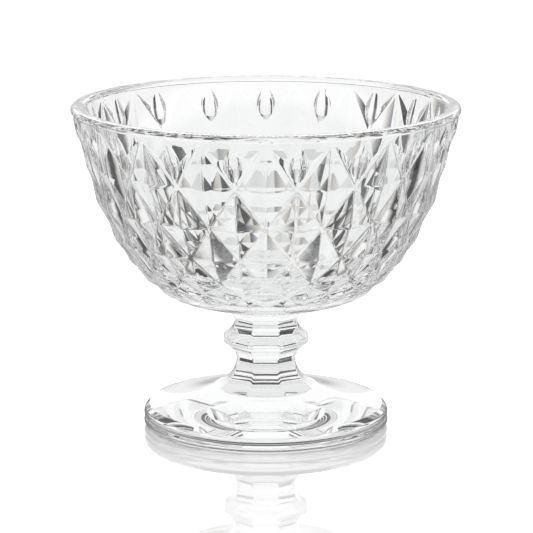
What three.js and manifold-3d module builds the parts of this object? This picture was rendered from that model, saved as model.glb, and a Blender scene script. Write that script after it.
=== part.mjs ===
// Footed ice cream bowl of clear pressed glass: a diamond-cut bowl, an octagonal stem with a knop,
// and a round banded foot, pressed apart and joined face to face while hot.
// Millimetres, +Z up. The origin is the middle of the foot's underside, and the front is -Y.

import * as THREE from "three";
import { mergeVertices } from "three/addons/utils/BufferGeometryUtils.js";
import Module from "manifold-3d";

const wasm = await Module();
wasm.setup();

// Foot: radii and heights
const FOOT_RADIUS = 38.2;
const FOOT_HEIGHT = 12;
const LOWER_BAND = 2.55;
const UPPER_BAND = 2.8;
const BAND_DEPTH = 0.45;
const BASE_INSET = 1;
const SHOULDER_WIDTH = 1.7;
const SHOULDER_RISE = 1.3;
const DOME_KNEE_RADIUS = 24;
const DOME_KNEE_RISE = 1.2;

// Stem: distances from the axis to the flats, and the heights of its runs from the foot up
const STEM_SIDES = 8;
const STEM_BASE = 14.5;
const LOWER_NECK = 9.15;
const KNOP = 13.15;
const UPPER_NECK = 9.65;
const STEM_TOP = 14;
const BASE_FLARE = 8.6;
const KNOP_UNDERSIDE = 6.15;
const KNOP_EDGE = 1.2;
const KNOP_TOPSIDE = 5.25;
const TOP_FLARE = 6.3;
const SEAT_MARGIN = 0.5;
const BASE_FLARE_TURN = 0.42; // where each run turns upright, as a share of its height
const KNOP_UNDERSIDE_TURN = 0.6;
const KNOP_TOPSIDE_TURN = 0.4;
const TOP_FLARE_TURN = 0.3;

// Bowl: the body's outline
const RIM_RADIUS = 60;
const BOWL_HEIGHT = 61.5;
const SEAT_RADIUS = 19;
const RIM_WALL = 4.2;
const FLOOR_THICKNESS = 6.5;
const SIDE_LEAN = THREE.MathUtils.degToRad(8);
const SIDE_HANDLE = 17.5;
const UNDERSIDE_HANDLE = 28;
const BEAD_RADIUS = 1.2;
const BEAD_PROUD = 0.6;
const LIP_RADIUS = 1.3;

// Bowl: the cut pattern
const DIAMONDS_AROUND = 19;
const RIM_BAND = 3.1;
const PLAIN_BASE = 4.4;
const ROW_SHARES = [1, 0.739, 0.507, 0.313, 0.154, 0.058, 0]; // crossing rows, of the pattern's height
const GROOVE_DEPTH = 1.5;
const POINT_DROP = 0.1; // how far the pressed points stay below the plain surface
const FLANK_ANGLE = THREE.MathUtils.degToRad(22);
const RUN_OUT = 3; // how far the lowest grooves' planes run out beyond the plain surface
const OLIVE_LENGTH = 16;
const OLIVE_WIDTH = 6.6;
const OLIVE_DEPTH = 1.9;
const OLIVE_RISE = 0.7; // of its upper end above the pattern

// Fineness of the round surfaces
const ROUND_SEGMENTS = 76;
const SIDE_STEPS = 24;
const WALL_STEPS = 12;
const CURVE_STEPS = 4;
const OLIVE_SIDES = 12;
const OLIVE_STEPS = 6;

const SPARE = 5; // how far a cutting body reaches past what it cuts
const HALVINGS = 40; // steps of the search for a height on the side's curve

const stemHeight = BASE_FLARE + KNOP_UNDERSIDE + KNOP_EDGE + KNOP_TOPSIDE + TOP_FLARE;
const cornerOf = (flat) => flat / Math.cos(Math.PI / STEM_SIDES);

const point = (radius, height) => new THREE.Vector2(radius, height);

// Points along a three-point curve, without its first point.
function bend(from, control, to) {
  return new THREE.QuadraticBezierCurve(from, control, to).getPoints(CURVE_STEPS).slice(1);
}

// A curve between two points whose middle stands out to a given radius.
function bulge(from, to, crest) {
  const control = point(2 * crest - (from.x + to.x) / 2, (from.y + to.y) / 2);
  return bend(from, control, to);
}

// Points on an arc about a centre, from one angle to another.
function arc(centre, radius, start, end) {
  return Array.from({ length: CURVE_STEPS + 1 }, (_, i) => {
    const angle = THREE.MathUtils.lerp(start, end, i / CURVE_STEPS);
    return point(centre.x + radius * Math.cos(angle), centre.y + radius * Math.sin(angle));
  });
}

// A body turned about Z from an outline that starts and ends on the axis. Its first side faces the front.
function turned(outline, sides, start = 0) {
  return new THREE.LatheGeometry(outline, sides, start).rotateX(Math.PI / 2);
}

// A closed geometry as a solid that can be cut.
function solidOf(geometry) {
  geometry.deleteAttribute("normal");
  geometry.deleteAttribute("uv");
  const merged = mergeVertices(geometry);
  const vertProperties = merged.attributes.position.array;
  const triVerts = new Uint32Array(merged.index.array);
  return new wasm.Manifold(new wasm.Mesh({ numProp: 3, vertProperties, triVerts }));
}

// A cut solid as a geometry with flat faces.
function geometryOf(solid) {
  const mesh = solid.getMesh();
  const geometry = new THREE.BufferGeometry();
  geometry.setAttribute("position", new THREE.BufferAttribute(mesh.vertProperties, mesh.numProp));
  geometry.setIndex(new THREE.BufferAttribute(mesh.triVerts, 1));
  const flat = geometry.toNonIndexed();
  flat.computeVertexNormals();
  return flat;
}

// The foot: two rounded bands round its edge, a sloped shoulder and a hollowed dome up to the stem's seat.
function footGeometry() {
  const crease = FOOT_RADIUS - BAND_DEPTH;
  const base = point(FOOT_RADIUS - BASE_INSET, 0);
  const middle = point(crease, LOWER_BAND);
  const edge = point(crease, LOWER_BAND + UPPER_BAND);
  const shoulder = point(FOOT_RADIUS - SHOULDER_WIDTH, edge.y + SHOULDER_RISE);
  const knee = point(DOME_KNEE_RADIUS, shoulder.y + DOME_KNEE_RISE);
  const seat = point(cornerOf(STEM_BASE) + SEAT_MARGIN, FOOT_HEIGHT);
  const outline = [
    point(0, 0),
    base,
    ...bulge(base, middle, FOOT_RADIUS),
    ...bulge(middle, edge, FOOT_RADIUS),
    shoulder,
    ...bend(shoulder, knee, seat),
    point(0, FOOT_HEIGHT),
  ];
  return turned(outline, ROUND_SEGMENTS);
}

// The stem: flared onto the foot, necked, swelling to a knop with an upright edge, necked, flared to the bowl.
function stemGeometry() {
  let height = 0;
  const level = (flat, rise) => point(cornerOf(flat), (height += rise));
  const base = level(STEM_BASE, 0);
  const lowerNeck = level(LOWER_NECK, BASE_FLARE);
  const knopFoot = level(KNOP, KNOP_UNDERSIDE);
  const knopHead = level(KNOP, KNOP_EDGE);
  const upperNeck = level(UPPER_NECK, KNOP_TOPSIDE);
  const top = level(STEM_TOP, TOP_FLARE);
  const along = (from, to, share) => THREE.MathUtils.lerp(from.y, to.y, share);
  const outline = [
    point(0, 0),
    base,
    ...bend(base, point(lowerNeck.x, along(base, lowerNeck, BASE_FLARE_TURN)), lowerNeck),
    ...bend(lowerNeck, point(lowerNeck.x, along(lowerNeck, knopFoot, KNOP_UNDERSIDE_TURN)), knopFoot),
    knopHead,
    ...bend(knopHead, point(upperNeck.x, along(knopHead, upperNeck, KNOP_TOPSIDE_TURN)), upperNeck),
    ...bend(upperNeck, point(upperNeck.x, along(upperNeck, top, TOP_FLARE_TURN)), top),
    point(0, stemHeight),
  ];
  return turned(outline, STEM_SIDES, Math.PI / STEM_SIDES);
}

// The bowl's plain outer side, from under the rim's bead down to the edge of the flat seat.
const bead = point(RIM_RADIUS - BEAD_RADIUS, BOWL_HEIGHT - BEAD_RADIUS);
const beadStart = -Math.acos(1 - BEAD_PROUD / BEAD_RADIUS);
const sideTop = point(RIM_RADIUS - BEAD_PROUD, bead.y + BEAD_RADIUS * Math.sin(beadStart));
const downSide = point(-Math.sin(SIDE_LEAN), -Math.cos(SIDE_LEAN));
const side = new THREE.CubicBezierCurve(
  sideTop,
  sideTop.clone().addScaledVector(downSide, SIDE_HANDLE),
  point(SEAT_RADIUS + UNDERSIDE_HANDLE, 0),
  point(SEAT_RADIUS, 0),
);

// The outward direction of the side at a place along its curve.
function outward(place) {
  const along = side.getTangent(place);
  return point(-along.y, along.x);
}

// The place along the side's curve that lies at a height.
function placeAt(height) {
  let low = 0;
  let high = 1;
  for (let i = 0; i < HALVINGS; i++) {
    const middle = (low + high) / 2;
    if (side.getPoint(middle).y > height) low = middle;
    else high = middle;
  }
  return (low + high) / 2;
}

// The plain bowl before cutting: its wall thickens from the rim to the floor.
function plainBowl() {
  const inside = Array.from({ length: WALL_STEPS + 1 }, (_, i) => {
    const place = i / WALL_STEPS;
    const wall = THREE.MathUtils.lerp(RIM_WALL, FLOOR_THICKNESS, place);
    return side.getPoint(place).addScaledVector(outward(place), -wall);
  });
  const lipHeight = BOWL_HEIGHT - LIP_RADIUS;
  const lipFoot = outward(0).multiplyScalar(-LIP_RADIUS);
  const rise = (lipHeight + lipFoot.y - inside[0].y) / -downSide.y;
  const lip = inside[0].clone().addScaledVector(downSide, -rise).sub(lipFoot);
  const outline = [
    point(0, 0),
    ...side.getPoints(SIDE_STEPS).reverse(),
    ...arc(bead, BEAD_RADIUS, beadStart, Math.PI / 2).slice(1),
    ...arc(lip, LIP_RADIUS, Math.PI / 2, Math.PI - SIDE_LEAN),
    ...inside,
    point(0, FLOOR_THICKNESS),
  ];
  return solidOf(turned(outline, ROUND_SEGMENTS));
}

// Columns of the lattice: two to a diamond, counted round from the front.
const columns = 2 * DIAMONDS_AROUND;
const columnAngle = (column) => (column * 2 * Math.PI) / columns;

function around(radius, height, column) {
  const angle = columnAngle(column);
  return new THREE.Vector3(radius * Math.sin(angle), -radius * Math.cos(angle), height);
}

// A ring of the lattice at a height: grooves cross at every second column, and points stand between them.
function latticeRing(height, crossing, crossingDepth, pointDepth) {
  const place = placeAt(height);
  return Array.from({ length: columns }, (_, column) => {
    const depth = column % 2 === crossing ? crossingDepth : pointDepth;
    const spot = side.getPoint(place).addScaledVector(outward(place), -depth);
    return around(spot.x, spot.y, column);
  });
}

// Joins rings of equal count into a closed body. Each four-cornered cell is split along its groove.
function closedRings(rings, firstCrossing) {
  const vertices = rings.flat();
  const count = rings[0].length;
  const triangles = [];
  for (let row = 0; row + 1 < rings.length; row++) {
    for (let column = 0; column < count; column++) {
      const next = (column + 1) % count;
      const upper = [row * count + column, row * count + next];
      const lower = [(row + 1) * count + column, (row + 1) * count + next];
      if ((row + column + firstCrossing) % 2 === 0) {
        triangles.push(upper[0], lower[0], lower[1], upper[0], lower[1], upper[1]);
      } else {
        triangles.push(upper[0], lower[0], upper[1], upper[1], lower[0], lower[1]);
      }
    }
  }
  const last = (rings.length - 1) * count;
  const top = vertices.push(new THREE.Vector3(0, 0, rings[0][0].z)) - 1;
  const bottom = vertices.push(new THREE.Vector3(0, 0, rings.at(-1)[0].z)) - 1;
  for (let column = 0; column < count; column++) {
    const next = (column + 1) % count;
    triangles.push(top, column, next, bottom, last + next, last + column);
  }
  const geometry = new THREE.BufferGeometry().setFromPoints(vertices);
  return geometry.setIndex(triangles);
}

// The body whose skin is the diamond pattern. Above and below the pattern it stands clear of the plain bowl.
function diamondBody() {
  const patternTop = BOWL_HEIGHT - RIM_BAND;
  const rowHeights = ROW_SHARES.map((share) => THREE.MathUtils.lerp(PLAIN_BASE, patternTop, share));
  const radiusAt = (height) => side.getPoint(placeAt(height)).x;
  const halfWidth = radiusAt(patternTop) * columnAngle(1);
  const halfHeight = rowHeights[0] - rowHeights[1];
  const flankReach = (halfWidth * halfHeight) / Math.hypot(halfWidth, halfHeight);
  const flankRise = flankReach * Math.tan(FLANK_ANGLE);
  const clear = RIM_RADIUS + flankRise;
  const plainRing = (radius, height) =>
    Array.from({ length: columns }, (_, column) => around(radius, height, column));
  const rows = rowHeights.map((height, row) => {
    const depth = (GROOVE_DEPTH * radiusAt(height)) / radiusAt(rowHeights[1]);
    return row === 0
      ? latticeRing(height, 0, POINT_DROP, -flankRise)
      : latticeRing(height, row % 2, depth, POINT_DROP);
  });
  const rings = [
    plainRing(clear, BOWL_HEIGHT + SPARE),
    plainRing(clear, patternTop + POINT_DROP),
    ...rows,
    latticeRing(PLAIN_BASE / 2, 0, -RUN_OUT, -RUN_OUT),
    plainRing(SEAT_RADIUS, -SPARE),
  ];
  return solidOf(closedRings(rings, 0));
}

// The spindle that cuts one olive: an almond-shaped hollow between two points of the top row.
function oliveCutter() {
  const bodyRadius = (OLIVE_WIDTH ** 2 / 4 + OLIVE_DEPTH ** 2) / (2 * OLIVE_DEPTH);
  const waist = bodyRadius - OLIVE_DEPTH;
  const profile = Array.from({ length: OLIVE_STEPS + 1 }, (_, i) => {
    const share = (2 * i) / OLIVE_STEPS - 1;
    return point(waist + OLIVE_DEPTH * (1 - share ** 2) ** 2, (share * OLIVE_LENGTH) / 2);
  });
  const ends = OLIVE_LENGTH / 2;
  const outline = [point(0, -ends), ...profile, point(0, ends)];
  const middle = placeAt(BOWL_HEIGHT - RIM_BAND + OLIVE_RISE - ends * Math.cos(SIDE_LEAN));
  const tangent = side.getTangent(middle);
  const axis = side.getPoint(middle).addScaledVector(outward(middle), waist);
  return turned(outline, OLIVE_SIDES)
    .rotateX(Math.atan2(-tangent.x, -tangent.y))
    .translate(0, -axis.x, axis.y);
}

function bowlGeometry() {
  let bowl = plainBowl().intersect(diamondBody());
  for (let column = 1; column < columns; column += 2) {
    bowl = bowl.subtract(solidOf(oliveCutter().rotateZ(columnAngle(column))));
  }
  return geometryOf(bowl);
}

// Clear colourless glass, one material to a piece.
function glass() {
  return new THREE.MeshStandardMaterial({
    color: 0xf3f7f8,
    roughness: 0.02,
    metalness: 0,
    transparent: true,
    opacity: 0.35,
  });
}

function piece(name, geometry, height) {
  const mesh = new THREE.Mesh(geometry, glass());
  mesh.name = name;
  mesh.position.z = height;
  return mesh;
}

const iceCreamBowl = new THREE.Group();
iceCreamBowl.add(
  piece("foot", footGeometry(), 0),
  piece("stem", stemGeometry(), FOOT_HEIGHT),
  piece("bowl", bowlGeometry(), FOOT_HEIGHT + stemHeight),
);

export default iceCreamBowl;
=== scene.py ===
"""A footed ice cream bowl of clear pressed glass on a white table.

The glass is three pieces, the foot, the stem and the diamond-cut bowl, each modelled from a
circle by extruding it along the outline of the piece. Sizes are in millimetres, and are turned
into metres where a mesh is made.
"""

import logging
import math
from dataclasses import dataclass, field
from enum import Enum
from typing import Callable, Iterable

import bmesh
import bpy
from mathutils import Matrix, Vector


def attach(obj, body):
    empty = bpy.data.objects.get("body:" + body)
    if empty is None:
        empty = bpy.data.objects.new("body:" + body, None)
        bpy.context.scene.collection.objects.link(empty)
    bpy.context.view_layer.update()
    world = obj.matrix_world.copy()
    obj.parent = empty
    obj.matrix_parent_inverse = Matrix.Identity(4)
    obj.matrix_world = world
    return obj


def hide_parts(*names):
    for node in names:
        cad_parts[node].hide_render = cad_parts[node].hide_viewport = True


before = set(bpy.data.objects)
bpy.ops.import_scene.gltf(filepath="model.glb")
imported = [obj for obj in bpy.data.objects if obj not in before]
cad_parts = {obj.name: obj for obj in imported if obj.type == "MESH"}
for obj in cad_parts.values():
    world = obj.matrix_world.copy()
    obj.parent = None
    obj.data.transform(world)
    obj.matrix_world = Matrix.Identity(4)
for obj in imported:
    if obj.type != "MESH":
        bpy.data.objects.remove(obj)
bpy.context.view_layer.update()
LOG = logging.getLogger("ice_cream_bowl")
MM = 0.001
STEM_SIDES = 8
JOINT_SLOT = 1
# Heights nearer than this are the same, in metres.
SAME_HEIGHT = 1e-6
# A face is level when its normal is at least this upright.
LEVEL_NORMAL = 0.99
# The profile of a round edge, and the weight of the larger faces in its shading.
ROUND_PROFILE = 0.5
FLAT_WEIGHT = 100


class Cut(Enum):
    """How one body shapes another."""

    KEEP_INSIDE = "INTERSECT"
    TAKE_AWAY = "DIFFERENCE"


class Facing(Enum):
    """Which way a flat seat looks."""

    UP = 1
    DOWN = -1


class Element(Enum):
    """What a mesh is picked by."""

    CORNER = "VERT"
    EDGE = "EDGE"
    FACE = "FACE"


class PaintedFringe(Enum):
    """The tint of a tone: a painted colour fringe, amber or blue, like the fringes that thick glass
    gives to an edge.
    """

    PLAIN = 0
    AMBER = 1
    BLUE = -1


@dataclass(frozen=True)
class Spot:
    """A point of an outline: its distance from the axis and its height."""

    radius: float
    height: float

    def moved(self, direction: "Spot", distance: float) -> "Spot":
        """Returns the point that lies a distance along a direction."""
        return Spot(
            self.radius + direction.radius * distance,
            self.height + direction.height * distance,
        )


def blend(start: float, end: float, share: float) -> float:
    """Returns the value that lies a share of the way between two values."""
    return start + (end - start) * share


def bend(start: Spot, control: Spot, end: Spot, steps: int) -> list[Spot]:
    """Makes points along a three-point curve, without its first point.

    Args:
        start: Where the curve starts.
        control: The point that pulls it.
        end: Where it ends.
        steps: How many points to make.

    Returns:
        The points, from the one after the start to the end.
    """
    points = []
    for step in range(1, steps + 1):
        t = step / steps
        weights = ((1 - t) ** 2, 2 * (1 - t) * t, t**2)
        corners = (start, control, end)
        radius = sum(w * c.radius for w, c in zip(weights, corners))
        height = sum(w * c.height for w, c in zip(weights, corners))
        points.append(Spot(radius, height))
    return points


def bulge(start: Spot, end: Spot, crest: float, steps: int) -> list[Spot]:
    """Makes points along a curve whose middle stands out to a radius.

    Args:
        start: Where the curve starts.
        end: Where it ends.
        crest: The radius of its middle.
        steps: How many points to make.

    Returns:
        The points, from the one after the start to the end.
    """
    middle = (start.radius + end.radius) / 2
    control = Spot(2 * crest - middle, (start.height + end.height) / 2)
    return bend(start, control, end, steps)


def arc(centre: Spot, radius: float, start: float, end: float, steps: int) -> list[Spot]:
    """Makes points on an arc about a centre.

    Args:
        centre: The middle of the arc.
        radius: Its radius.
        start: Its first angle, in radians.
        end: Its last angle, in radians.
        steps: How many steps it has.

    Returns:
        The points, both ends included.
    """
    angles = [blend(start, end, step / steps) for step in range(steps + 1)]
    return [
        Spot(centre.radius + radius * math.cos(a), centre.height + radius * math.sin(a))
        for a in angles
    ]


class Bench:
    """The modelling moves that every piece is made with."""

    @staticmethod
    def take(piece: bpy.types.Object) -> None:
        """Selects one object alone and makes it the active one."""
        bpy.ops.object.select_all(action="DESELECT")
        piece.select_set(True)
        bpy.context.view_layer.objects.active = piece

    @staticmethod
    def circle(name: str, sides: int, start: Spot, turn: float = 0.0) -> bpy.types.Object:
        """Adds the filled circle that a body is raised from.

        Args:
            name: The new object's name.
            sides: How many corners the circle has.
            start: Its radius and height.
            turn: How far it is turned about the axis, in radians.

        Returns:
            The new object, open in edit mode with its disc selected.
        """
        bpy.ops.object.select_all(action="DESELECT")
        bpy.ops.mesh.primitive_circle_add(
            vertices=sides,
            radius=start.radius * MM,
            fill_type="NGON",
            location=(0, 0, start.height * MM),
            rotation=(0, 0, turn),
        )
        body = bpy.context.object
        body.name = name
        body.data.name = name
        bpy.ops.object.transform_apply(location=True, rotation=True, scale=True)
        bpy.ops.object.mode_set(mode="EDIT")
        bpy.ops.mesh.select_mode(type="VERT")
        bpy.ops.mesh.select_all(action="SELECT")
        return body

    @staticmethod
    def raise_disc(last: Spot, to: Spot) -> None:
        """Extrudes the selected disc from one radius and height to the next.

        Args:
            last: Where the disc is.
            to: Where it goes.
        """
        rise = (0, 0, (to.height - last.height) * MM)
        bpy.ops.mesh.extrude_region_move(TRANSFORM_OT_translate={"value": rise})
        Bench.widen(to.radius / last.radius)

    @staticmethod
    def widen(factor: float) -> None:
        """Scales what is selected away from the axis."""
        bpy.ops.transform.resize(value=(factor, factor, 1), center_override=(0, 0, 0))

    @staticmethod
    def turned(name: str, outline: list[Spot], sides: int, turn: float = 0.0) -> bpy.types.Object:
        """Raises a closed body from a circle along an outline.

        Args:
            name: The new object's name.
            outline: The points from the first disc to the last.
            sides: How many sides the body has.
            turn: How far it is turned about the axis, in radians.

        Returns:
            The new object, in object mode.
        """
        body = Bench.circle(name, sides, outline[0], turn)
        for last, to in zip(outline, outline[1:]):
            Bench.raise_disc(last, to)
        Bench.close()
        return body

    @staticmethod
    def close() -> None:
        """Points all faces outwards and leaves edit mode."""
        bpy.ops.mesh.select_all(action="SELECT")
        bpy.ops.mesh.normals_make_consistent(inside=False)
        bpy.ops.mesh.select_all(action="DESELECT")
        bpy.ops.object.mode_set(mode="OBJECT")

    @staticmethod
    def pick(body: bpy.types.Object, kind: Element, test: Callable[..., bool]) -> None:
        """Selects in edit mode the corners, edges or faces that pass a test.

        Args:
            body: The object that is open in edit mode.
            kind: What is picked.
            test: What a picked one passes.
        """
        bpy.ops.mesh.select_mode(type=kind.value)
        bpy.ops.mesh.select_all(action="DESELECT")
        mesh = bmesh.from_edit_mesh(body.data)
        groups = {
            Element.CORNER: mesh.verts,
            Element.EDGE: mesh.edges,
            Element.FACE: mesh.faces,
        }
        found = [item for item in groups[kind] if test(item)]
        for item in found:
            item.select_set(True)
        mesh.select_flush_mode()
        bmesh.update_edit_mesh(body.data)

    @staticmethod
    def shape(body: bpy.types.Object, tool: bpy.types.Object, cut: Cut) -> None:
        """Shapes a body with another, which is used up.

        Args:
            body: The body that is shaped.
            tool: The body that shapes it.
            cut: Whether the inside of the tool is kept or taken away.
        """
        Bench.take(body)
        modifier = body.modifiers.new("cut", "BOOLEAN")
        modifier.operation = cut.value
        modifier.object = tool
        modifier.solver = "EXACT"
        bpy.ops.object.modifier_apply(modifier=modifier.name)
        bpy.data.objects.remove(tool)

    @staticmethod
    def polish(body: bpy.types.Object, angle: float) -> None:
        """Shades a piece smooth up to an angle, with its flats kept flat.

        Args:
            body: The piece.
            angle: Edges sharper than this stay crisp, in radians.
        """
        Bench.take(body)
        bpy.ops.object.shade_smooth_by_angle(angle=angle)
        modifier = body.modifiers.new("flats", "WEIGHTED_NORMAL")
        modifier.keep_sharp = True
        modifier.weight = FLAT_WEIGHT
        bpy.ops.object.modifier_apply(modifier=modifier.name)

    @staticmethod
    def round_edges(radius: float, steps: int) -> None:
        """Rounds the selected edges.

        Args:
            radius: The size of the round.
            steps: How many steps it has.
        """
        bpy.ops.mesh.bevel(
            offset=radius * MM,
            segments=steps,
            profile=ROUND_PROFILE,
            affect="EDGES",
            clamp_overlap=True,
        )

    @staticmethod
    def give_joint(body: bpy.types.Object) -> None:
        """Gives the selected faces of a piece the joint's slot."""
        body.active_material_index = JOINT_SLOT
        bpy.ops.object.material_slot_assign()

    @staticmethod
    def octagon_seat(body: bpy.types.Object, height: float, facing: Facing, flat: float) -> None:
        """Scores the outline of the stem on a flat seat and gives what lies in it the joint's slot.

        Args:
            body: The piece that has the seat.
            height: The seat's height.
            facing: Which way the seat looks.
            flat: The stem's distance from its axis to a flat.
        """
        turns = [side * 2 * math.pi / STEM_SIDES for side in range(STEM_SIDES)]
        normals = [Vector((math.sin(turn), -math.cos(turn), 0)) for turn in turns]

        def on_seat(face: bmesh.types.BMFace) -> bool:
            level = abs(face.calc_center_median().z - height * MM) < SAME_HEIGHT
            return level and face.normal.z * facing.value > LEVEL_NORMAL

        def in_stem(face: bmesh.types.BMFace) -> bool:
            middle = face.calc_center_median()
            return on_seat(face) and all(middle.dot(n) < flat * MM for n in normals)

        Bench.take(body)
        bpy.ops.object.mode_set(mode="EDIT")
        for normal in normals:
            Bench.pick(body, Element.FACE, on_seat)
            bpy.ops.mesh.bisect(plane_co=normal * flat * MM, plane_no=normal)
        Bench.pick(body, Element.FACE, in_stem)
        Bench.give_joint(body)
        bpy.ops.mesh.select_all(action="DESELECT")
        bpy.ops.object.mode_set(mode="OBJECT")


def fill_ramp(
    ramp: bpy.types.ShaderNodeValToRGB,
    tones: Iterable[tuple[float, tuple[float, float, float]]],
) -> None:
    """Puts tones on a colour ramp in place of its own.

    Args:
        ramp: The ramp's node.
        tones: The places, from 0 to 1 and in order, with their colours.
    """
    stops = ramp.color_ramp.elements
    stops.remove(stops[1])
    for number, (place, colour) in enumerate(tones):
        stop = stops[0] if number == 0 else stops.new(place)
        stop.position = place
        stop.color = (*colour, 1)


@dataclass(frozen=True)
class PressedGlass:
    """Clear fire-polished glass, whose gloss varies faintly as pressing leaves it."""

    colour: tuple[float, float, float, float] = (0.985, 0.992, 0.99, 1.0)
    index: float = 1.52
    roughness_low: float = 0.0
    roughness_high: float = 0.003
    patch_scale: float = 55.0
    patch_detail: float = 1.0

    def make(self) -> bpy.types.Material:
        """Makes the glass as a node material and returns it."""
        glass = bpy.data.materials.new("clear_pressed_glass")
        glass.use_nodes = True
        nodes, links = glass.node_tree.nodes, glass.node_tree.links
        shader = nodes["Principled BSDF"]
        shader.inputs["Base Color"].default_value = self.colour
        shader.inputs["IOR"].default_value = self.index
        shader.inputs["Transmission Weight"].default_value = 1.0
        place = nodes.new("ShaderNodeTexCoord")
        patches = nodes.new("ShaderNodeTexNoise")
        patches.inputs["Scale"].default_value = self.patch_scale
        patches.inputs["Detail"].default_value = self.patch_detail
        links.new(place.outputs["Object"], patches.inputs["Vector"])
        polish = nodes.new("ShaderNodeMapRange")
        polish.inputs["To Min"].default_value = self.roughness_low
        polish.inputs["To Max"].default_value = self.roughness_high
        links.new(patches.outputs["Fac"], polish.inputs["Value"])
        links.new(polish.outputs["Result"], shader.inputs["Roughness"])
        return glass


@dataclass(frozen=True)
class FusedJoint:
    """The joint inside the glass, where two pieces were pressed together hot and nothing shows."""

    def make(self) -> bpy.types.Material:
        """Makes the invisible joint as a material and returns it."""
        joint = bpy.data.materials.new("fused_joint")
        joint.use_nodes = True
        shader = joint.node_tree.nodes["Principled BSDF"]
        shader.inputs["Alpha"].default_value = 0.0
        return joint


@dataclass(frozen=True)
class TableFinish:
    """A white table top with a thin clear gloss."""

    white: float = 0.93
    gloss: float = 0.35
    gloss_roughness: float = 0.005

    def make(self) -> bpy.types.Material:
        """Makes the table's material and returns it."""
        table = bpy.data.materials.new("white_table")
        table.use_nodes = True
        nodes, links = table.node_tree.nodes, table.node_tree.links
        nodes.remove(nodes["Principled BSDF"])
        base = nodes.new("ShaderNodeBsdfDiffuse")
        base.inputs["Color"].default_value = (self.white, self.white, self.white, 1)
        gloss = nodes.new("ShaderNodeBsdfAnisotropic")
        gloss.inputs["Color"].default_value = (1, 1, 1, 1)
        gloss.inputs["Roughness"].default_value = self.gloss_roughness
        both = nodes.new("ShaderNodeMixShader")
        both.inputs["Fac"].default_value = self.gloss
        links.new(base.outputs["BSDF"], both.inputs[1])
        links.new(gloss.outputs["BSDF"], both.inputs[2])
        links.new(both.outputs["Shader"], nodes["Material Output"].inputs["Surface"])
        return table


@dataclass(frozen=True)
class Tone:
    """A tone of the painted shade on a glowing fan.

    Its place runs from 0 on the light line of a spoke to 1 halfway to the next.
    """

    place: float
    level: float
    warmth: PaintedFringe = PaintedFringe.PLAIN

    def colour(self, fringe: float) -> tuple[float, float, float]:
        """Returns the tone's glowing colour, with its painted colour fringe as strong as is asked.
        """
        tint = fringe * self.warmth.value
        return (self.level * (1 + tint), self.level, self.level * (1 - tint))


@dataclass(frozen=True)
class PaintedShadeFan:
    """Painted light and shade on a glowing fan, alike in every spoke and mirrored about its middle
    line.
    """

    name: str
    tones: tuple[Tone, ...]
    fringe: float = 0.09
    spokes: int = 8
    turn: float = math.radians(3.0)

    def make(self) -> bpy.types.Material:
        """Makes the fan's glowing material of painted shade and returns it."""
        fan = bpy.data.materials.new(self.name)
        fan.use_nodes = True
        nodes, links = fan.node_tree.nodes, fan.node_tree.links
        nodes.remove(nodes["Principled BSDF"])
        place = nodes.new("ShaderNodeTexCoord")
        parts = nodes.new("ShaderNodeSeparateXYZ")
        links.new(place.outputs["Object"], parts.inputs["Vector"])
        angle = nodes.new("ShaderNodeMath")
        angle.operation = "ARCTAN2"
        links.new(parts.outputs["X"], angle.inputs[0])
        links.new(parts.outputs["Y"], angle.inputs[1])
        half_pitch = math.pi / self.spokes
        turned = nodes.new("ShaderNodeMath")
        turned.operation = "MULTIPLY_ADD"
        turned.inputs[1].default_value = 1 / half_pitch
        turned.inputs[2].default_value = self.turn / half_pitch
        links.new(angle.outputs["Value"], turned.inputs[0])
        across = nodes.new("ShaderNodeMath")
        across.operation = "PINGPONG"
        across.inputs[1].default_value = 1.0
        links.new(turned.outputs["Value"], across.inputs[0])
        ramp = nodes.new("ShaderNodeValToRGB")
        fill_ramp(ramp, [(tone.place, tone.colour(self.fringe)) for tone in self.tones])
        links.new(across.outputs["Value"], ramp.inputs["Fac"])
        face = nodes.new("ShaderNodeEmission")
        links.new(ramp.outputs["Color"], face.inputs["Color"])
        links.new(face.outputs["Emission"], nodes["Material Output"].inputs["Surface"])
        return fan


NEAR_TURN = math.radians(-4)
# A grey glowing disc under the foot, seen only through the glass: painted shade of the floor
# beneath the foot.
SHADE_UNDER_FOOT = PaintedShadeFan("painted_shade_under_foot", (Tone(0.0, 0.8), Tone(1.0, 0.8)))
# A dark glowing ring round the foot, seen only through the glass: painted shade, which draws the
# dark lines in the stem and the foot's bands.
FOOT_SHADE = PaintedShadeFan("foot_shade", (Tone(0.0, 0.06), Tone(1.0, 0.06)))
# Glowing fans on the table, seen only through the glass: painted light in their light spokes and
# painted shade in their dark ones, with painted colour fringes between.
NEAR_FAN = PaintedShadeFan(
    "near_fan",
    (
        Tone(0.0, 0.97),
        Tone(0.28, 0.9),
        Tone(0.48, 0.55, PaintedFringe.AMBER),
        Tone(0.66, 0.22, PaintedFringe.BLUE),
        Tone(0.78, 0.02),
        Tone(1.0, 0.02),
    ),
    turn=NEAR_TURN,
)
MIDDLE_FAN = PaintedShadeFan(
    "middle_fan",
    (
        Tone(0.0, 0.76),
        Tone(0.3, 0.7),
        Tone(0.5, 0.55, PaintedFringe.AMBER),
        Tone(0.66, 0.3, PaintedFringe.BLUE),
        Tone(0.76, 0.06),
        Tone(1.0, 0.03),
    ),
    turn=NEAR_TURN,
)
FAR_FAN = PaintedShadeFan(
    "far_fan",
    (
        Tone(0.0, 0.93),
        Tone(0.72, 0.9),
        Tone(0.78, 0.6, PaintedFringe.AMBER),
        Tone(0.85, 0.25, PaintedFringe.BLUE),
        Tone(0.9, 0.06),
        Tone(1.0, 0.06),
    ),
)
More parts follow.
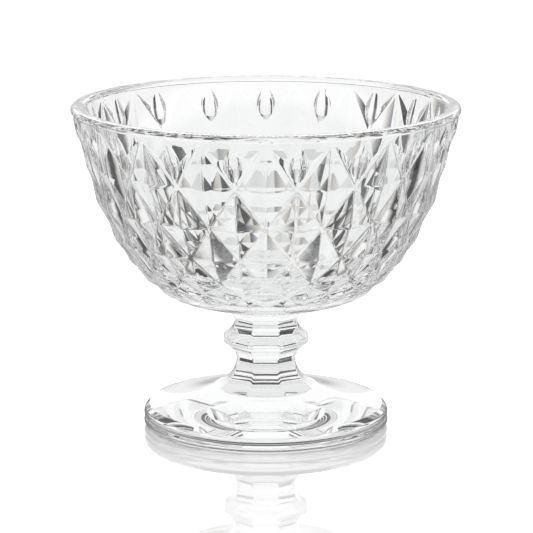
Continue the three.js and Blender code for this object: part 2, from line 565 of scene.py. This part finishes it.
# A glowing upright ring far round the bowl, seen only through the glass: painted light with dark
# bars of painted shade.
SIDE_WALL = PaintedShadeFan(
    "side_wall",
    (
        Tone(0.0, 0.94),
        Tone(0.7, 0.94),
        Tone(0.75, 0.5, PaintedFringe.AMBER),
        Tone(0.8, 0.2, PaintedFringe.BLUE),
        Tone(0.84, 0.02),
        Tone(1.0, 0.02),
    ),
)


@dataclass
class Finishes:
    """The two materials that every glass piece carries, in the order of its slots."""

    glass: bpy.types.Material
    joint: bpy.types.Material

    def put_on(self, body: bpy.types.Object) -> None:
        """Gives a piece its glass and its joint."""
        body.data.materials.clear()
        body.data.materials.append(self.glass)
        body.data.materials.append(self.joint)


@dataclass
class Stem:
    """The octagonal stem: flared at both ends, with a knop between two necks."""

    sides: int = STEM_SIDES
    foot_height: float = 12.0
    base: float = 14.5
    lower_neck: float = 9.15
    knop: float = 13.15
    upper_neck: float = 9.65
    top: float = 14.0
    base_flare: float = 8.6
    knop_underside: float = 6.15
    knop_edge: float = 1.2
    knop_topside: float = 5.25
    top_flare: float = 6.3
    base_flare_turn: float = 0.42
    knop_underside_turn: float = 0.6
    knop_topside_turn: float = 0.4
    top_flare_turn: float = 0.3
    edge_round: float = 0.5
    round_steps: int = 3
    steps: int = 14
    knop_edge_angle: float = math.radians(20)
    crisp_angle: float = math.radians(30)

    @property
    def height(self) -> float:
        """The stem's whole height."""
        knop = self.knop_underside + self.knop_edge + self.knop_topside
        return self.base_flare + knop + self.top_flare

    @property
    def seat_height(self) -> float:
        """The height of the joint under the bowl."""
        return self.foot_height + self.height

    def corner(self, flat: float) -> float:
        """Returns the distance to a corner for a distance to a flat."""
        return flat / math.cos(math.pi / self.sides)

    def outline(self) -> list[Spot]:
        """Makes the outline of the stem's corners, from the foot to the bowl.

        Returns:
            The points of the outline.
        """
        rises = (0, self.base_flare, self.knop_underside, self.knop_edge)
        rises += (self.knop_topside, self.top_flare)
        flats = (self.base, self.lower_neck, self.knop, self.knop, self.upper_neck, self.top)
        height = self.foot_height
        levels = []
        for flat, rise in zip(flats, rises):
            height += rise
            levels.append(Spot(self.corner(flat), height))
        base, lower, knop_foot, knop_head, upper, top = levels

        def run(start: Spot, end: Spot, neck: Spot, turn: float) -> list[Spot]:
            control = Spot(neck.radius, blend(start.height, end.height, turn))
            return bend(start, control, end, self.steps)

        return [
            base,
            *run(base, lower, lower, self.base_flare_turn),
            *run(lower, knop_foot, lower, self.knop_underside_turn),
            knop_head,
            *run(knop_head, upper, upper, self.knop_topside_turn),
            *run(upper, top, upper, self.top_flare_turn),
        ]

    def build(self, finishes: Finishes) -> bpy.types.Object:
        """Models the stem and rounds its eight edges.

        Args:
            finishes: The materials of the glass.

        Returns:
            The finished stem.
        """
        body = Bench.turned("stem_glass", self.outline(), self.sides, math.pi / self.sides)
        finishes.put_on(body)
        ends = (self.foot_height * MM, self.seat_height * MM)
        Bench.take(body)
        bpy.ops.object.mode_set(mode="EDIT")

        def end_face(face: bmesh.types.BMFace) -> bool:
            return abs(face.normal.z) > LEVEL_NORMAL and len(face.verts) == self.sides

        Bench.pick(body, Element.FACE, end_face)
        Bench.give_joint(body)

        def upright(edge: bmesh.types.BMEdge) -> bool:
            low, high = (v.co for v in edge.verts)
            return abs(low.z - high.z) > SAME_HEIGHT

        def knop_edge(edge: bmesh.types.BMEdge) -> bool:
            level = not upright(edge) and edge.calc_face_angle(0) > self.knop_edge_angle
            return level and all(abs(edge.verts[0].co.z - end) > SAME_HEIGHT for end in ends)

        Bench.pick(body, Element.EDGE, lambda e: upright(e) or knop_edge(e))
        Bench.round_edges(self.edge_round, self.round_steps)
        Bench.close()
        Bench.polish(body, self.crisp_angle)
        return body


@dataclass
class Foot:
    """The round foot: two rounded bands at its edge and a low hollowed dome up to the stem."""

    stem: Stem
    radius: float = 38.2
    lower_band: float = 2.55
    upper_band: float = 2.8
    band_depth: float = 0.45
    base_inset: float = 1.0
    shoulder_width: float = 1.7
    shoulder_rise: float = 1.3
    dome_knee_radius: float = 24.0
    dome_knee_rise: float = 1.2
    seat_margin: float = 0.5
    sides: int = 192
    steps: int = 12
    crisp_angle: float = math.radians(25)

    def outline(self) -> list[Spot]:
        """Makes the outline of the foot, from its underside to the stem's seat.

        Returns:
            The points of the outline.
        """
        crease = self.radius - self.band_depth
        base = Spot(self.radius - self.base_inset, 0)
        middle = Spot(crease, self.lower_band)
        edge = Spot(crease, self.lower_band + self.upper_band)
        shoulder = Spot(self.radius - self.shoulder_width, edge.height + self.shoulder_rise)
        knee = Spot(self.dome_knee_radius, shoulder.height + self.dome_knee_rise)
        seat_radius = self.stem.corner(self.stem.base) + self.seat_margin
        seat = Spot(seat_radius, self.stem.foot_height)
        return [
            base,
            *bulge(base, middle, self.radius, self.steps),
            *bulge(middle, edge, self.radius, self.steps),
            shoulder,
            *bend(shoulder, knee, seat, 2 * self.steps),
        ]

    def build(self, finishes: Finishes) -> bpy.types.Object:
        """Models the foot and scores its joint with the stem.

        Args:
            finishes: The materials of the glass.

        Returns:
            The finished foot.
        """
        body = Bench.turned("foot_glass", self.outline(), self.sides)
        finishes.put_on(body)
        Bench.octagon_seat(body, self.stem.foot_height, Facing.UP, self.stem.base)
        Bench.polish(body, self.crisp_angle)
        return body


@dataclass
class BowlSide:
    """The plain side of the bowl, a curve from under the rim's bead down to the flat seat."""

    seat_height: float
    rim_radius: float = 60.0
    bowl_height: float = 61.5
    seat_radius: float = 19.0
    lean: float = math.radians(8)
    side_handle: float = 17.5
    underside_handle: float = 28.0
    bead_radius: float = 1.2
    bead_proud: float = 0.6
    halvings: int = 40

    @property
    def bead(self) -> Spot:
        """The middle of the bead round the rim."""
        rim = self.seat_height + self.bowl_height
        return Spot(self.rim_radius - self.bead_radius, rim - self.bead_radius)

    @property
    def bead_start(self) -> float:
        """The angle at which the bead leaves the side."""
        return -math.acos(1 - self.bead_proud / self.bead_radius)

    @property
    def down(self) -> Spot:
        """The direction down the side under the rim."""
        return Spot(-math.sin(self.lean), -math.cos(self.lean))

    def controls(self) -> list[Spot]:
        """Returns the four points that set the side's curve."""
        drop = self.bead_radius * math.sin(self.bead_start)
        top = Spot(self.rim_radius - self.bead_proud, self.bead.height + drop)
        return [
            top,
            top.moved(self.down, self.side_handle),
            Spot(self.seat_radius + self.underside_handle, self.seat_height),
            Spot(self.seat_radius, self.seat_height),
        ]

    def at(self, place: float) -> Spot:
        """Returns the point at a place along the side, 0 at the top and 1 at the seat."""
        left = 1 - place
        weights = (left**3, 3 * left**2 * place, 3 * left * place**2, place**3)
        points = self.controls()
        radius = sum(w * p.radius for w, p in zip(weights, points))
        height = sum(w * p.height for w, p in zip(weights, points))
        return Spot(radius, height)

    def along(self, place: float) -> Spot:
        """Returns the direction down the side at a place."""
        left = 1 - place
        weights = (left**2, 2 * left * place, place**2)
        points = self.controls()
        steps = list(zip(points, points[1:]))
        radius = sum(w * (b.radius - a.radius) for w, (a, b) in zip(weights, steps))
        height = sum(w * (b.height - a.height) for w, (a, b) in zip(weights, steps))
        length = math.hypot(radius, height)
        return Spot(radius / length, height / length)

    def outward(self, place: float) -> Spot:
        """Returns the direction out of the side at a place."""
        along = self.along(place)
        return Spot(-along.height, along.radius)

    def place_at(self, height: float) -> float:
        """Finds the place along the side that lies at a height.

        Args:
            height: The height.

        Returns:
            The place, from 0 at the top to 1 at the seat.
        """
        low, high = 0.0, 1.0
        for _ in range(self.halvings):
            middle = (low + high) / 2
            if self.at(middle).height > height:
                low = middle
            else:
                high = middle
        return (low + high) / 2

    def sunk(self, height: float, depth: float) -> Spot:
        """Returns the point that lies a depth under the side at a height."""
        place = self.place_at(height)
        return self.at(place).moved(self.outward(place), -depth)


@dataclass
class DiamondCut:
    """The pressed pattern: rows of diamonds, and an olive between the top ones."""

    side: BowlSide
    around: int = 19
    rim_band: float = 3.1
    plain_base: float = 4.4
    row_shares: tuple[float, ...] = (1.0, 0.739, 0.507, 0.313, 0.154, 0.058, 0.0)
    groove_depth: float = 1.5
    point_drop: float = 0.1
    flank_angle: float = math.radians(22)
    run_out: float = 3.0
    spare: float = 5.0
    edge_round: float = 0.55
    round_steps: int = 3
    round_reach: float = 1.5
    flat_angle: float = math.radians(0.6)
    node_reach: float = 0.002
    olive_length: float = 16.0
    olive_width: float = 6.6
    olive_depth: float = 1.9
    olive_rise: float = 0.7
    olive_sides: int = 96
    olive_steps: int = 16
    nodes: list[Spot] = field(default_factory=list)

    @property
    def columns(self) -> int:
        """The number of columns of the lattice, two to a diamond."""
        return 2 * self.around

    @property
    def top(self) -> float:
        """The height of the top of the pattern."""
        return self.side.seat_height + self.side.bowl_height - self.rim_band

    def rows(self) -> list[float]:
        """Returns the heights of the crossing rows, from the top down."""
        base = self.side.seat_height + self.plain_base
        return [blend(base, self.top, share) for share in self.row_shares]

    def flank_rise(self) -> float:
        """Returns how far the flanks beside the top diamonds rise out of the plain side."""
        heights = self.rows()
        half_width = self.side.sunk(self.top, 0).radius * math.pi / self.around
        half_height = heights[0] - heights[1]
        reach = half_width * half_height / math.hypot(half_width, half_height)
        return reach * math.tan(self.flank_angle)

    def column_of(self, place: Vector) -> int:
        """Returns the lattice column of a corner, counted round from the front."""
        share = math.atan2(place.x, -place.y) / (2 * math.pi)
        return round(share * self.columns) % self.columns

    def lattice(self) -> bpy.types.Object:
        """Models the body whose skin is the pattern, clear of the plain bowl above and below.

        Returns:
            The lattice, with its edges rounded.
        """
        heights = self.rows()
        first_radius = self.side.sunk(heights[1], 0).radius
        rise = self.flank_rise()
        clear = self.side.rim_radius + rise
        rows: list[tuple[Spot, Spot]] = []
        for row, height in reversed(list(enumerate(heights))):
            depth = self.groove_depth * self.side.sunk(height, 0).radius / first_radius
            crossing = self.side.sunk(height, depth)
            crest = self.side.sunk(height, self.point_drop)
            if row == 0:
                rows.append((crest, self.side.sunk(height, -rise)))
                self.nodes.append(crest)
            else:
                rows.append((crossing, crest) if row % 2 == 0 else (crest, crossing))
                self.nodes.append(crossing)
        low = self.side.sunk(self.side.seat_height + self.plain_base / 2, -self.run_out)
        start = Spot(self.side.seat_radius, self.side.seat_height - self.spare)
        rim = self.side.seat_height + self.side.bowl_height
        body = Bench.circle("diamond_lattice", self.columns, start)
        Bench.raise_disc(start, low)
        for level in (Spot(clear, self.top + self.point_drop), Spot(clear, rim + self.spare)):
            rows.append((level, level))
        spread = (low, low)
        for spots in rows:
            self.raise_from(body, spread, spots)
            spread = spots
        self.split_and_round(body, heights)
        return body

    def raise_from(
        self,
        body: bpy.types.Object,
        spread: tuple[Spot, Spot],
        spots: tuple[Spot, Spot],
    ) -> None:
        """Extrudes the top disc and moves its even and its odd columns to their own places.

        Args:
            body: The lattice, open in edit mode with its top disc selected.
            spread: Where the even and the odd columns are.
            spots: Where they go.
        """
        bpy.ops.mesh.extrude_region_move(TRANSFORM_OT_translate={"value": (0, 0, 0)})
        mesh = bmesh.from_edit_mesh(body.data)
        ring = {v.index for v in mesh.verts if v.select}
        for parity in (0, 1):
            Bench.pick(
                body,
                Element.CORNER,
                lambda v: v.index in ring and self.column_of(v.co) % 2 == parity,
            )
            lift = (spots[parity].height - spread[parity].height) * MM
            bpy.ops.transform.translate(value=(0, 0, lift))
            Bench.widen(spots[parity].radius / spread[parity].radius)
        Bench.pick(body, Element.CORNER, lambda v: v.index in ring)

    def split_and_round(self, body: bpy.types.Object, heights: list[float]) -> None:
        """Splits the lattice's cells along their grooves and rounds its edges.

        Args:
            body: The lattice, open in edit mode.
            heights: The heights of its rows, from the top down.
        """

        def is_node(corner: bmesh.types.BMVert) -> bool:
            radius = math.hypot(corner.co.x, corner.co.y) / MM
            height = corner.co.z / MM
            gaps = (max(abs(radius - n.radius), abs(height - n.height)) for n in self.nodes)
            return min(gaps) < self.node_reach

        Bench.pick(body, Element.CORNER, is_node)
        bpy.ops.mesh.vert_connect()
        low = (heights[-1] - self.round_reach) * MM
        high = (heights[0] + self.point_drop / 2) * MM

        def in_pattern(edge: bmesh.types.BMEdge) -> bool:
            within = all(low < v.co.z < high for v in edge.verts)
            return within and edge.calc_face_angle(0) > self.flat_angle

        Bench.pick(body, Element.EDGE, in_pattern)
        Bench.round_edges(self.edge_round, self.round_steps)
        Bench.close()

    def olive_tool(self) -> bpy.types.Object:
        """Models the ring of spindles that cut the olives, one modelled and the rest copied.

        Returns:
            All the spindles as one body.
        """
        depth = self.olive_depth
        body_radius = (self.olive_width**2 / 4 + depth**2) / (2 * depth)
        waist = body_radius - depth
        half = self.olive_length / 2
        outline = []
        for step in range(self.olive_steps + 1):
            share = 2 * step / self.olive_steps - 1
            outline.append(Spot(waist + depth * (1 - share**2) ** 2, share * half))
        spindle = Bench.turned("olive_spindle", outline, self.olive_sides)
        middle = self.side.place_at(self.top + self.olive_rise - half * math.cos(self.side.lean))
        axis = self.side.at(middle).moved(self.side.outward(middle), waist)
        along = self.side.along(middle)
        spindle.location = (0, -axis.radius * MM, axis.height * MM)
        spindle.rotation_euler = (math.atan2(-along.radius, -along.height), 0, 0)
        Bench.take(spindle)
        bpy.ops.object.transform_apply(location=True, rotation=True, scale=True)
        copies = []
        for column in range(1, self.columns, 2):
            Bench.take(spindle)
            bpy.ops.object.duplicate()
            copy = bpy.context.object
            copy.rotation_euler = (0, 0, column * math.pi / self.around)
            bpy.ops.object.transform_apply(location=True, rotation=True, scale=True)
            copies.append(copy)
        bpy.data.objects.remove(spindle)
        Bench.take(copies[0])
        for copy in copies:
            copy.select_set(True)
        bpy.ops.object.join()
        return copies[0]


@dataclass
class Bowl:
    """The bowl: a beaded rim, a smooth inside and a diamond-cut outside."""

    stem: Stem
    side: BowlSide
    cut: DiamondCut
    rim_wall: float = 4.2
    floor_thickness: float = 6.5
    lip_radius: float = 1.3
    sides_per_diamond: int = 12
    side_steps: int = 48
    wall_steps: int = 36
    arc_steps: int = 10
    crisp_angle: float = math.radians(14)

    def outline(self) -> list[Spot]:
        """Makes the plain bowl's outline, from the seat over the rim to the floor inside.

        Returns:
            The points of the outline.
        """
        side = self.side
        outside = [side.at(step / self.side_steps) for step in range(self.side_steps + 1)]
        bead = arc(side.bead, side.bead_radius, side.bead_start, math.pi / 2, self.arc_steps)
        inside = []
        for step in range(self.wall_steps + 1):
            place = step / self.wall_steps
            wall = blend(self.rim_wall, self.floor_thickness, place)
            inside.append(side.at(place).moved(side.outward(place), -wall))
        lip_height = side.seat_height + side.bowl_height - self.lip_radius
        out = side.outward(0)
        rise = (lip_height - out.height * self.lip_radius - inside[0].height) / -side.down.height
        lip = inside[0].moved(side.down, -rise).moved(out, self.lip_radius)
        end = math.pi - side.lean
        lip_arc = arc(lip, self.lip_radius, math.pi / 2, end, self.arc_steps)
        return [*reversed(outside), *bead[1:], *lip_arc, *inside]

    def build(self, finishes: Finishes) -> bpy.types.Object:
        """Models the plain bowl, cuts the pattern into it and scores its joint with the stem.

        Args:
            finishes: The materials of the glass.

        Returns:
            The finished bowl.
        """
        sides = self.sides_per_diamond * self.cut.around
        body = Bench.turned("bowl_glass", self.outline(), sides)
        Bench.shape(body, self.cut.lattice(), Cut.KEEP_INSIDE)
        Bench.shape(body, self.cut.olive_tool(), Cut.TAKE_AWAY)
        finishes.put_on(body)
        Bench.octagon_seat(body, self.stem.seat_height, Facing.DOWN, self.stem.top)
        Bench.polish(body, self.crisp_angle)
        return body


@dataclass
class Studio:
    """The white table, the glowing fans of painted shade that only the glass shows, the light and
    the camera.

    Sizes are in metres, and the shift of the picture is in its own points.
    """

    table_radius: float = 0.6
    sweep_radius: float = 8.0
    table_drop: float = 0.0002
    sweep_drop: float = 0.0006
    under_start: float = 0.001
    fan_start: float = 0.041
    under_drop: float = 0.0001
    near_fan_end: float = 0.19
    fan_middle: float = 0.3
    fan_end: float = 0.8
    fan_lift: float = 0.0004
    shade_radius: float = 0.045
    shade_top: float = 0.008
    wall_top: float = 0.12
    ring_sides: int = 128
    fill: float = 1.2
    mirrored_sky: tuple[tuple[float, float], ...] = (
        (-0.08, 0.4),
        (0.08, 1.0),
        (0.16, 1.0),
        (0.19, 2.4),
        (0.27, 2.4),
        (0.31, 1.0),
    )
    camera_distance: float = 0.899
    camera_height: float = 0.05045
    camera_elevation: float = math.radians(12.34)
    camera_lens: float = 195.2
    picture_size: int = 533
    picture_shift: tuple[float, float] = (0.6, -1.98)
    bounces: int = 24
    glossy_bounces: int = 12
    clear_bounces: int = 16

    def build(self) -> None:
        """Sets up the whole studio."""
        self.table(TableFinish().make())
        below, level = -self.under_drop, self.fan_lift
        # Glowing rings of painted light and shade on and round the table, seen only through the
        # glass.
        rings = (
            (SHADE_UNDER_FOOT, Spot(self.under_start, below), Spot(self.fan_start, below)),
            (FOOT_SHADE, Spot(self.shade_radius, level), Spot(self.shade_radius, self.shade_top)),
            (NEAR_FAN, Spot(self.fan_start, level), Spot(self.near_fan_end, level)),
            (MIDDLE_FAN, Spot(self.near_fan_end, level), Spot(self.fan_middle, level)),
            (FAR_FAN, Spot(self.fan_middle, level), Spot(self.fan_end, level)),
            (SIDE_WALL, Spot(self.fan_end, level), Spot(self.fan_end, self.wall_top)),
        )
        for finish, start, end in rings:
            self.fan(finish, start, end)
        self.light()
        self.camera()
        scene = bpy.context.scene
        scene.view_settings.view_transform = "Standard"
        scene.cycles.max_bounces = self.bounces
        scene.cycles.transmission_bounces = self.bounces
        scene.cycles.glossy_bounces = self.glossy_bounces
        scene.cycles.transparent_max_bounces = self.clear_bounces

    def disc(self, name: str, radius: float, drop: float) -> bpy.types.Object:
        """Adds a flat disc of the floor just under the object.

        Args:
            name: The disc's name.
            radius: Its radius.
            drop: How far it lies under the object.

        Returns:
            The disc.
        """
        bpy.ops.object.select_all(action="DESELECT")
        bpy.ops.mesh.primitive_circle_add(
            vertices=self.ring_sides,
            radius=radius,
            fill_type="NGON",
            location=(0, 0, -drop),
        )
        disc = bpy.context.object
        disc.name = name
        return disc

    def table(self, finish: bpy.types.Material) -> None:
        """Lays the table, and the white sweep beyond it that only the camera sees.

        Args:
            finish: The table's material.
        """
        top = self.disc("table_top", self.table_radius, self.table_drop)
        sweep = self.disc("white_sweep", self.sweep_radius, self.sweep_drop)
        sweep.visible_transmission = False
        sweep.visible_glossy = False
        sweep.visible_diffuse = False
        top.visible_glossy = False
        for part in (top, sweep):
            part.data.materials.append(finish)

    def fan(self, finish: PaintedShadeFan, start: Spot, end: Spot) -> None:
        """Sets up a glowing ring of painted light and shade, which shows only through the glass.

        Args:
            finish: The ring's tones of painted light and shade.
            start: The radius and height of its first edge, in metres.
            end: The radius and height of its other edge, in metres.
        """
        bpy.ops.object.select_all(action="DESELECT")
        bpy.ops.mesh.primitive_circle_add(
            vertices=self.ring_sides,
            radius=start.radius,
            fill_type="NOTHING",
            location=(0, 0, start.height),
        )
        fan = bpy.context.object
        fan.name = finish.name
        bpy.ops.object.transform_apply(location=True, rotation=True, scale=True)
        bpy.ops.object.mode_set(mode="EDIT")
        bpy.ops.mesh.select_all(action="SELECT")
        rise = (0, 0, end.height - start.height)
        bpy.ops.mesh.extrude_region_move(TRANSFORM_OT_translate={"value": rise})
        Bench.widen(end.radius / start.radius)
        Bench.close()
        fan.data.materials.append(finish.make())
        # Seen only through the glass: the painted shade neither lights nor shadows anything.
        fan.visible_camera = False
        fan.visible_diffuse = False
        fan.visible_glossy = False
        fan.visible_shadow = False

    def light(self) -> None:
        """Lights the scene evenly with a white world.

        Reflections alone see the mirrored sky: the sine of a height over the horizon with its
        level, dark towards the ground and bright in a strip that whitens the flat of the rim.
        """
        world = bpy.data.worlds.new("white_studio")
        world.use_nodes = True
        bpy.context.scene.world = world
        nodes, links = world.node_tree.nodes, world.node_tree.links
        sky = nodes["Background"]
        sky.inputs["Color"].default_value = (1, 1, 1, 1)
        path = nodes.new("ShaderNodeLightPath")
        seen = nodes.new("ShaderNodeMath")
        seen.operation = "MAXIMUM"
        links.new(path.outputs["Is Camera Ray"], seen.inputs[0])
        links.new(path.outputs["Is Transmission Ray"], seen.inputs[1])
        unseen = nodes.new("ShaderNodeMix")
        unseen.inputs["A"].default_value = self.fill
        place = nodes.new("ShaderNodeTexCoord")
        parts = nodes.new("ShaderNodeSeparateXYZ")
        links.new(place.outputs["Generated"], parts.inputs["Vector"])
        height = nodes.new("ShaderNodeMapRange")
        height.inputs["From Min"].default_value = -1.0
        links.new(parts.outputs["Z"], height.inputs["Value"])
        mirrored = nodes.new("ShaderNodeValToRGB")
        fill_ramp(mirrored, [((sine + 1) / 2, (shine,) * 3) for sine, shine in self.mirrored_sky])
        links.new(height.outputs["Result"], mirrored.inputs["Fac"])
        links.new(mirrored.outputs["Color"], unseen.inputs["B"])
        links.new(path.outputs["Is Glossy Ray"], unseen.inputs["Factor"])
        level = nodes.new("ShaderNodeMix")
        level.inputs["B"].default_value = 1.0
        links.new(seen.outputs["Value"], level.inputs["Factor"])
        links.new(unseen.outputs["Result"], level.inputs["A"])
        links.new(level.outputs["Result"], sky.inputs["Strength"])

    def camera(self) -> None:
        """Stands the camera where the photograph was taken from."""
        lens = bpy.data.cameras.new("camera")
        lens.lens = self.camera_lens
        lens.shift_x = self.picture_shift[0] / self.picture_size
        lens.shift_y = self.picture_shift[1] / self.picture_size
        camera = bpy.data.objects.new("camera", lens)
        bpy.context.scene.collection.objects.link(camera)
        back = self.camera_distance * math.cos(self.camera_elevation)
        rise = self.camera_distance * math.sin(self.camera_elevation)
        camera.location = (0, -back, self.camera_height + rise)
        camera.rotation_euler = (math.pi / 2 - self.camera_elevation, 0, 0)
        bpy.context.scene.camera = camera


def hand_over(pieces: Iterable[tuple[bpy.types.Object, str]]) -> None:
    """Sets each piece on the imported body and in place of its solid.

    Args:
        pieces: The pieces with the names of the solids that they stand for.
    """
    for piece, node in pieces:
        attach(piece, "root")
        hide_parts(node)
        LOG.info("%s stands for %s with %d faces", piece.name, node, len(piece.data.polygons))


def main() -> None:
    """Builds the studio and the three pieces of glass, in order."""
    logging.basicConfig(level=logging.INFO, format="%(message)s")
    Studio().build()
    finishes = Finishes(PressedGlass().make(), FusedJoint().make())
    stem = Stem()
    foot = Foot(stem)
    side = BowlSide(stem.seat_height)
    bowl = Bowl(stem, side, DiamondCut(side))
    hand_over(
        [
            (foot.build(finishes), "foot"),
            (stem.build(finishes), "stem"),
            (bowl.build(finishes), "bowl"),
        ]
    )


if __name__ == "__main__":
    main()
